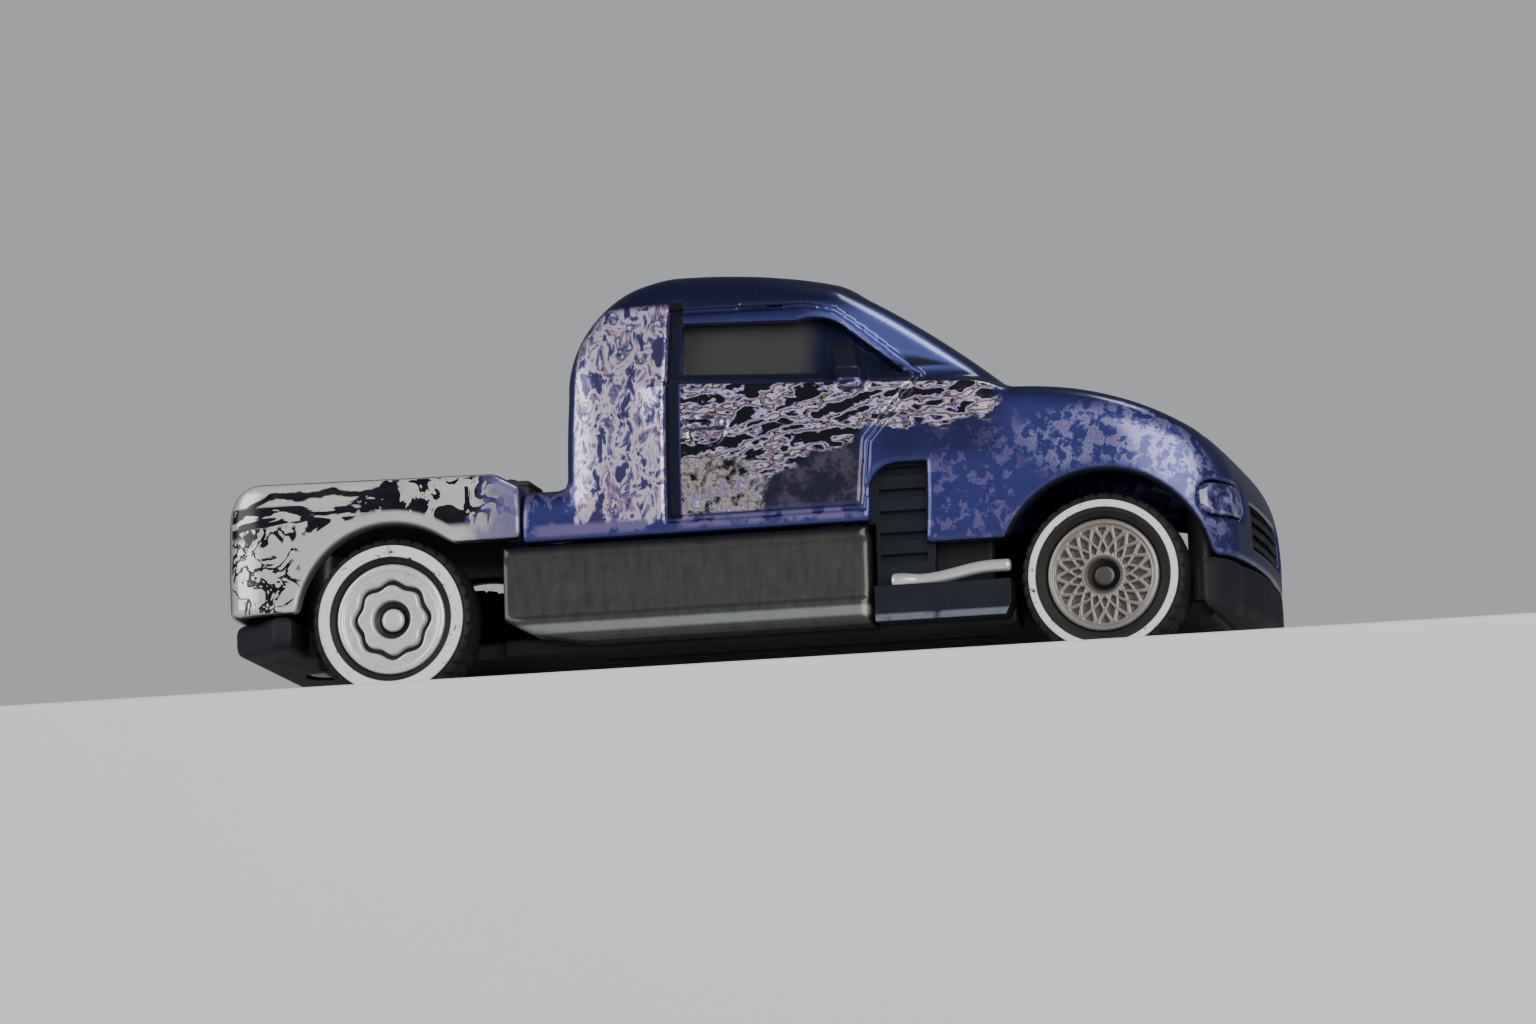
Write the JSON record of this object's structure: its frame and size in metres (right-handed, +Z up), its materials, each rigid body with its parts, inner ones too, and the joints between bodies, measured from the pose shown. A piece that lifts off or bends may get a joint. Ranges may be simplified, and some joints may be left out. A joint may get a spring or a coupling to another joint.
{
  "type": "toy tow truck",
  "caption": "Three-inch die-cast toy tow truck: rounded cab, open rear bed with a folding boom and hook, free-rolling wheels on wire axles.",
  "frame": {"origin": "on the ground, midway along the truck's length and width", "axes": "+X to the nose, +Y to the driver's left, +Z up"},
  "size_m": [0.0768, 0.031, 0.0313],
  "materials": {
    "violet_enamel": "metallic enamel with printed panels",
    "bare_zinc": "polished bare casting with printed marks",
    "black_plastic": "moulded, fine grain",
    "skirt_plastic": "dark grey, streaked",
    "step_plastic": "dark blue-black",
    "pipe_chrome": "bright",
    "rim_chrome": "satin bright",
    "rim_grey": "dull silver",
    "tyre_rubber": "satin black with a pale ring",
    "steel_wire": "drawn wire",
    "smoked_clear": "smoked clear plastic",
    "clear_lens": "clear",
    "red_lens": "transparent red",
    "cabin_plastic": "moulded",
    "deck_plastic": "tread plate, black",
    "boom_metal": "dull silver"
  },
  "bodies": {
    "truck": {"cab_casting": "violet_enamel", "rear_bed": "bare_zinc", "chassis_base": "black_plastic", "grille": "black_plastic", "headlights": "clear_lens", "tail_lights": "red_lens", "glazing": "smoked_clear", "cabin_tub": "cabin_plastic", "steering_wheel": "cabin_plastic", "tow_deck": "deck_plastic", "boom_pin": "steel_wire", "right_skirt": "skirt_plastic", "right_step": "step_plastic", "right_pipe": "pipe_chrome", "left_skirt": "skirt_plastic", "left_step": "step_plastic", "left_pipe": "pipe_chrome"},
    "front_axle_shaft": {"front_axle": "steel_wire"},
    "rear_axle_shaft": {"rear_axle": "steel_wire"},
    "front_right_wheel": {"front_right_tyre": "tyre_rubber", "front_right_rim": "rim_grey"},
    "front_left_wheel": {"front_left_tyre": "tyre_rubber", "front_left_rim": "rim_grey"},
    "rear_right_wheel": {"rear_right_tyre": "tyre_rubber", "rear_right_rim": "rim_chrome"},
    "rear_left_wheel": {"rear_left_tyre": "tyre_rubber", "rear_left_rim": "rim_chrome"},
    "boom": {"tow_boom": "boom_metal", "hook_pin": "steel_wire"},
    "hook": {"tow_hook": "steel_wire"}
  },
  "joints": [
    {"name": "front_axle_spin", "type": "hinge", "parent": "truck", "child": "front_axle_shaft", "pos_m": [0.028, 0, 0.006], "axis": [0, 1, 0], "continuous": true},
    {"name": "front_right_wheel_spin", "type": "hinge", "parent": "front_axle_shaft", "child": "front_right_wheel", "pos_m": [0.028, 0, 0.006], "axis": [0, 1, 0], "continuous": true},
    {"name": "front_left_wheel_spin", "type": "hinge", "parent": "front_axle_shaft", "child": "front_left_wheel", "pos_m": [0.028, 0, 0.006], "axis": [0, 1, 0], "continuous": true},
    {"name": "rear_axle_spin", "type": "hinge", "parent": "truck", "child": "rear_axle_shaft", "pos_m": [-0.025, 0, 0.006], "axis": [0, 1, 0], "continuous": true},
    {"name": "rear_right_wheel_spin", "type": "hinge", "parent": "rear_axle_shaft", "child": "rear_right_wheel", "pos_m": [-0.025, 0, 0.006], "axis": [0, 1, 0], "continuous": true},
    {"name": "rear_left_wheel_spin", "type": "hinge", "parent": "rear_axle_shaft", "child": "rear_left_wheel", "pos_m": [-0.025, 0, 0.006], "axis": [0, 1, 0], "continuous": true},
    {"name": "boom_lift", "type": "hinge", "parent": "truck", "child": "boom", "pos_m": [-0.0184, 0, 0.0166], "axis": [0, 1, 0], "range_deg": [0, 50]},
    {"name": "hook_swing", "type": "hinge", "parent": "boom", "child": "hook", "pos_m": [-0.0302, 0, 0.0166], "axis": [0, 1, 0], "range_deg": [-150, 10]}
  ],
  "couplings": [
    {"joint": "hook_swing", "follows": "boom_lift", "ratio": -2.8}
  ]
}
